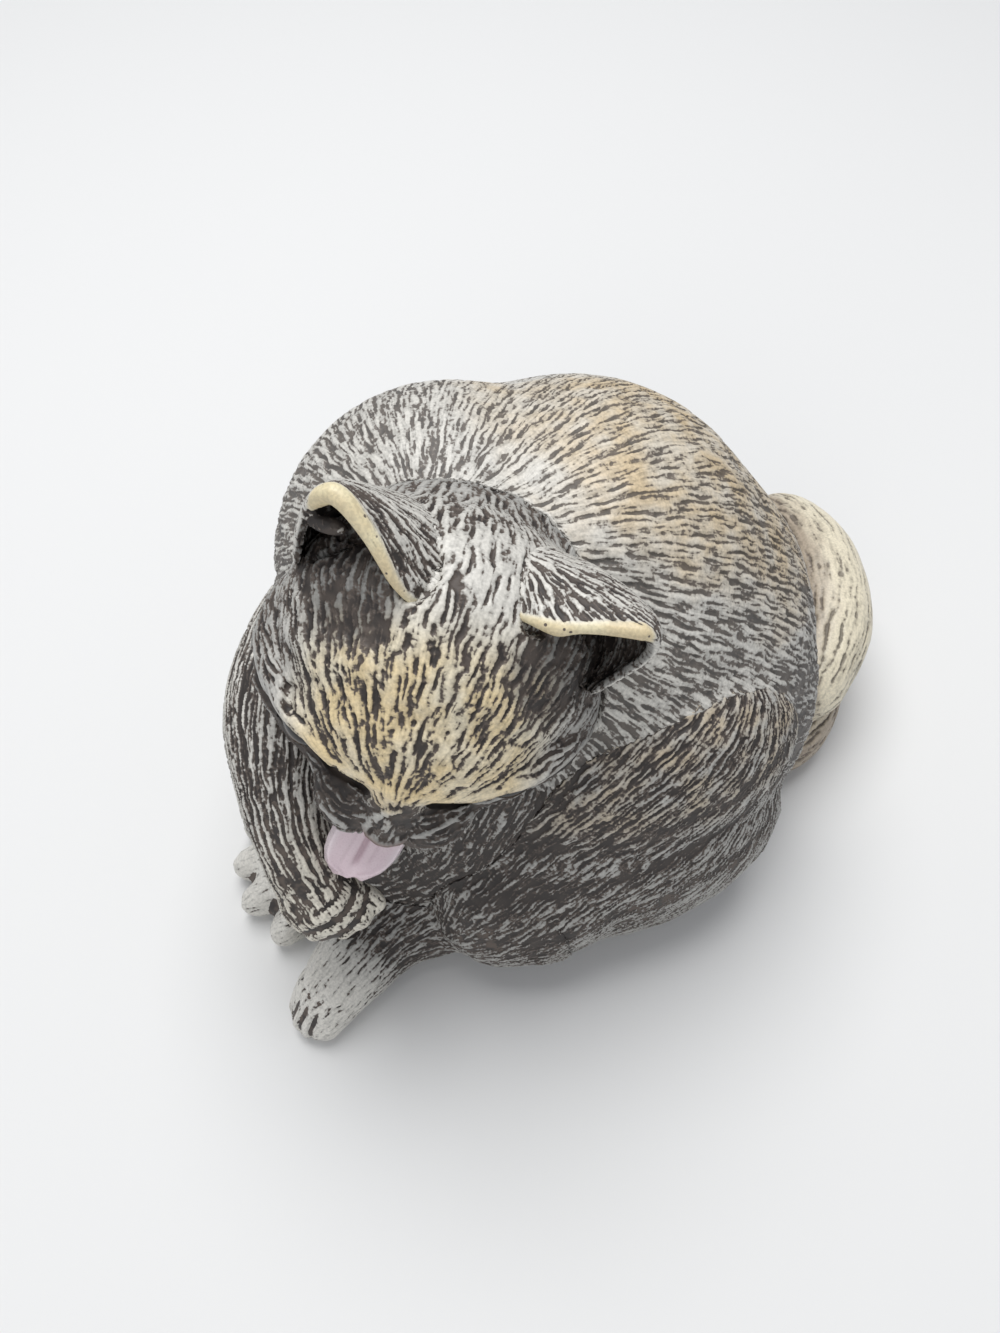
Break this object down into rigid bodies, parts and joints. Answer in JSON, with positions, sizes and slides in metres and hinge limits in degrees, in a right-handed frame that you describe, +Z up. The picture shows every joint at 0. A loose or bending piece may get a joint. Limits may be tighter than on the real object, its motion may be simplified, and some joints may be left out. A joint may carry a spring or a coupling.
{
  "type": "cat figurine",
  "caption": "Seated cat figurine in carved and hand-washed resin, head turned and bowed, tongue out to lick a raised forepaw; stands on its flat underside as a shelf ornament.",
  "frame": {"origin": "on the standing plane, at the middle of the torso's flat underside", "axes": "+Z up, -Y the way the cat's body faces, +X the cat's left side"},
  "size_m": [0.0643, 0.102, 0.0779],
  "materials": {
    "fur": "carved resin, cream and grey with a dark wash in the grooves, matt",
    "tongue": "pink paint, satin",
    "eye": "black gloss",
    "pin": "plain drawn steel, hidden"
  },
  "bodies": {
    "root": {"torso": "fur", "head": "fur", "left_ear": "fur", "right_ear": "fur", "left_eye": "eye", "right_eye": "eye", "tongue": "tongue", "raised_foreleg": "fur", "standing_foreleg": "fur", "left_hind_leg": "fur", "right_hind_leg": "fur", "tail": "fur", "neck_pin": "pin", "left_hip_pin": "pin", "right_hip_pin": "pin", "left_shoulder_pin": "pin", "right_shoulder_pin": "pin", "tail_pin": "pin"}
  },
  "joints": []
}
